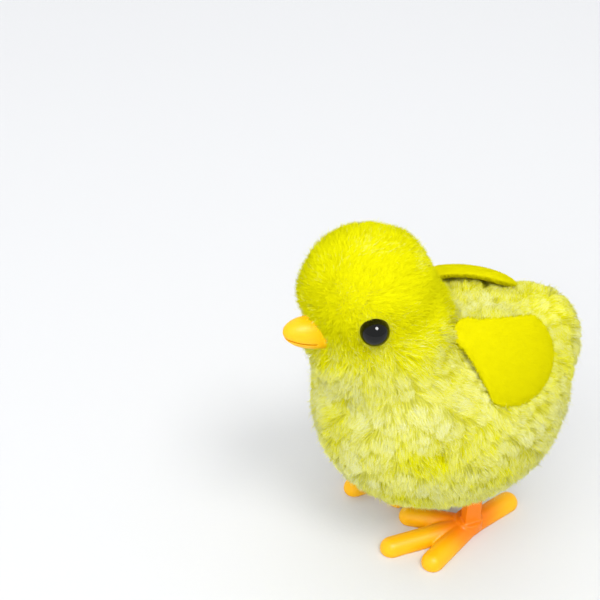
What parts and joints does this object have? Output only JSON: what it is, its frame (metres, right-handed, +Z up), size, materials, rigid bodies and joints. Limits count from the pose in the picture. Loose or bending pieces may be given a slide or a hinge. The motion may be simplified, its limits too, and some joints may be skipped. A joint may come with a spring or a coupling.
{
  "type": "wind-up hopping chicken",
  "caption": "Wind-up hopping chick: a fluffy plush-covered shell over a clockwork motor whose cam kicks a pair of orange feet.",
  "frame": {"origin": "middle of the bounding box at floor level, under the soles", "axes": "the chick faces -Y, its left side is +X, +Z is up"},
  "size_m": [0.0586, 0.0697, 0.0826],
  "materials": {
    "plush": "fluffy pile",
    "velour": "short smooth pile",
    "eye_black": "polished",
    "beak_plastic": "satin",
    "foot_plastic": "satin",
    "shell_plastic": "moulded",
    "case_plastic": "moulded",
    "gear_plastic": "moulded",
    "steel": "drawn"
  },
  "bodies": {
    "chick": {"plush_cover": "plush", "left_shell": "shell_plastic", "right_shell": "shell_plastic", "belly_plate": "shell_plastic", "left_wing": "velour", "right_wing": "velour", "left_eye": "eye_black", "right_eye": "eye_black", "eye_washers": "steel", "beak": "beak_plastic", "beak_washer": "steel", "motor_case": "case_plastic", "motor_cover": "case_plastic", "case_screws": "steel", "shell_screws": "steel", "belly_screws": "steel", "mainspring": "steel", "pivot_pin": "steel"},
    "winder": {"winding_key": "case_plastic", "winding_arbor": "steel", "ratchet_wheel": "steel"},
    "great_gear": {"great_wheel": "gear_plastic"},
    "pawl": {"click": "steel"},
    "second_gear": {"second_wheel": "gear_plastic", "second_arbor": "steel"},
    "cam_gear": {"cam_wheel": "gear_plastic", "cam_arbor": "steel"},
    "legs": {"leg_yoke": "gear_plastic", "return_spring": "steel", "left_foot": "foot_plastic", "right_foot": "foot_plastic", "foot_screws": "steel"}
  },
  "joints": [
    {"name": "great_spin", "type": "hinge", "parent": "chick", "child": "great_gear", "pos_m": [0.0052, 0.0079, 0.0366], "axis": [1, 0, 0], "continuous": true},
    {"name": "key_turn", "type": "hinge", "parent": "chick", "child": "winder", "pos_m": [0.0052, 0.0079, 0.0366], "axis": [1, 0, 0], "continuous": true},
    {"name": "click_lift", "type": "hinge", "parent": "great_gear", "child": "pawl", "pos_m": [0.0052, 0.01301, 0.03955], "axis": [-1, 0, 0], "range_deg": [0, 9], "stiffness_Nm_per_rad": 0.0005, "springref_deg": -11.46},
    {"name": "second_spin", "type": "hinge", "parent": "chick", "child": "second_gear", "pos_m": [0.0052, -0.00195, 0.03834], "axis": [1, 0, 0], "continuous": true},
    {"name": "cam_spin", "type": "hinge", "parent": "chick", "child": "cam_gear", "pos_m": [0.0052, -0.00195, 0.02984], "axis": [1, 0, 0], "continuous": true},
    {"name": "hop_swing", "type": "hinge", "parent": "chick", "child": "legs", "pos_m": [0.0052, 0.0138, 0.0271], "axis": [1, 0, 0], "range_deg": [0, 14], "stiffness_Nm_per_rad": 0.02, "springref_deg": -20.05}
  ],
  "couplings": [
    {"joint": "second_spin", "follows": "great_spin", "ratio": -3},
    {"joint": "cam_spin", "follows": "great_spin", "ratio": 7.2}
  ]
}
